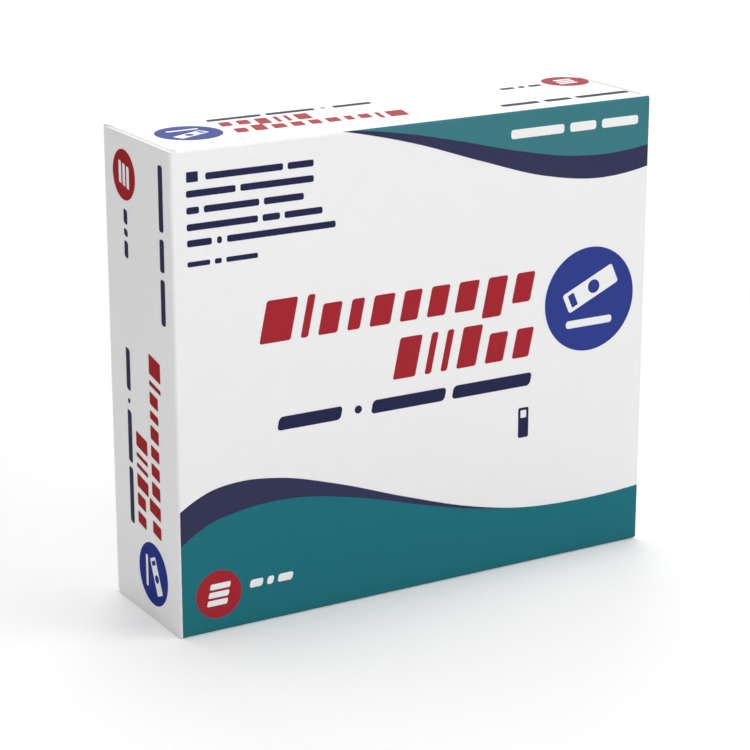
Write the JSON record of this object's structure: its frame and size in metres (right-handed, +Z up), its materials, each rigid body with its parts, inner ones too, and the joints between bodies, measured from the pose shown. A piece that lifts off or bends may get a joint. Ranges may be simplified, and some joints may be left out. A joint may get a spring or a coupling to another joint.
{
  "type": "microscope slide box",
  "caption": "Printed folding carton with a tuck flap at each end, holding a stack of plain glass microscope slides with ground corners.",
  "frame": {"origin": "middle of the carton's base, on the surface it stands on", "axes": "+X to the right along the carton's long side, +Y from the printed front panel to the back, +Z up"},
  "size_m": [0.0992, 0.027, 0.088],
  "materials": {
    "carton_board": "white clay-coated folding carton board, satin outside and uncoated inside",
    "slide_glass": "clear soda-lime float glass with ground corners",
    "teal_print": "teal offset ink on coated board, satin",
    "navy_print": "navy offset ink on coated board, satin",
    "red_print": "red offset ink on coated board, satin",
    "blue_print": "blue offset ink on coated board, satin"
  },
  "bodies": {
    "carton": {"carton_sleeve": "carton_board", "glass_slides": "slide_glass"},
    "left_flap": {"left_end_flap": "carton_board"},
    "right_flap": {"right_end_flap": "carton_board"}
  },
  "joints": [
    {"name": "left_flap_hinge", "type": "hinge", "parent": "carton", "child": "left_flap", "pos_m": [-0.04905, -0.0129, 0.044], "axis": [0, 0, 1], "range_deg": [0, 135]},
    {"name": "right_flap_hinge", "type": "hinge", "parent": "carton", "child": "right_flap", "pos_m": [0.04905, 0.0129, 0.044], "axis": [0, 0, 1], "range_deg": [0, 135]}
  ]
}
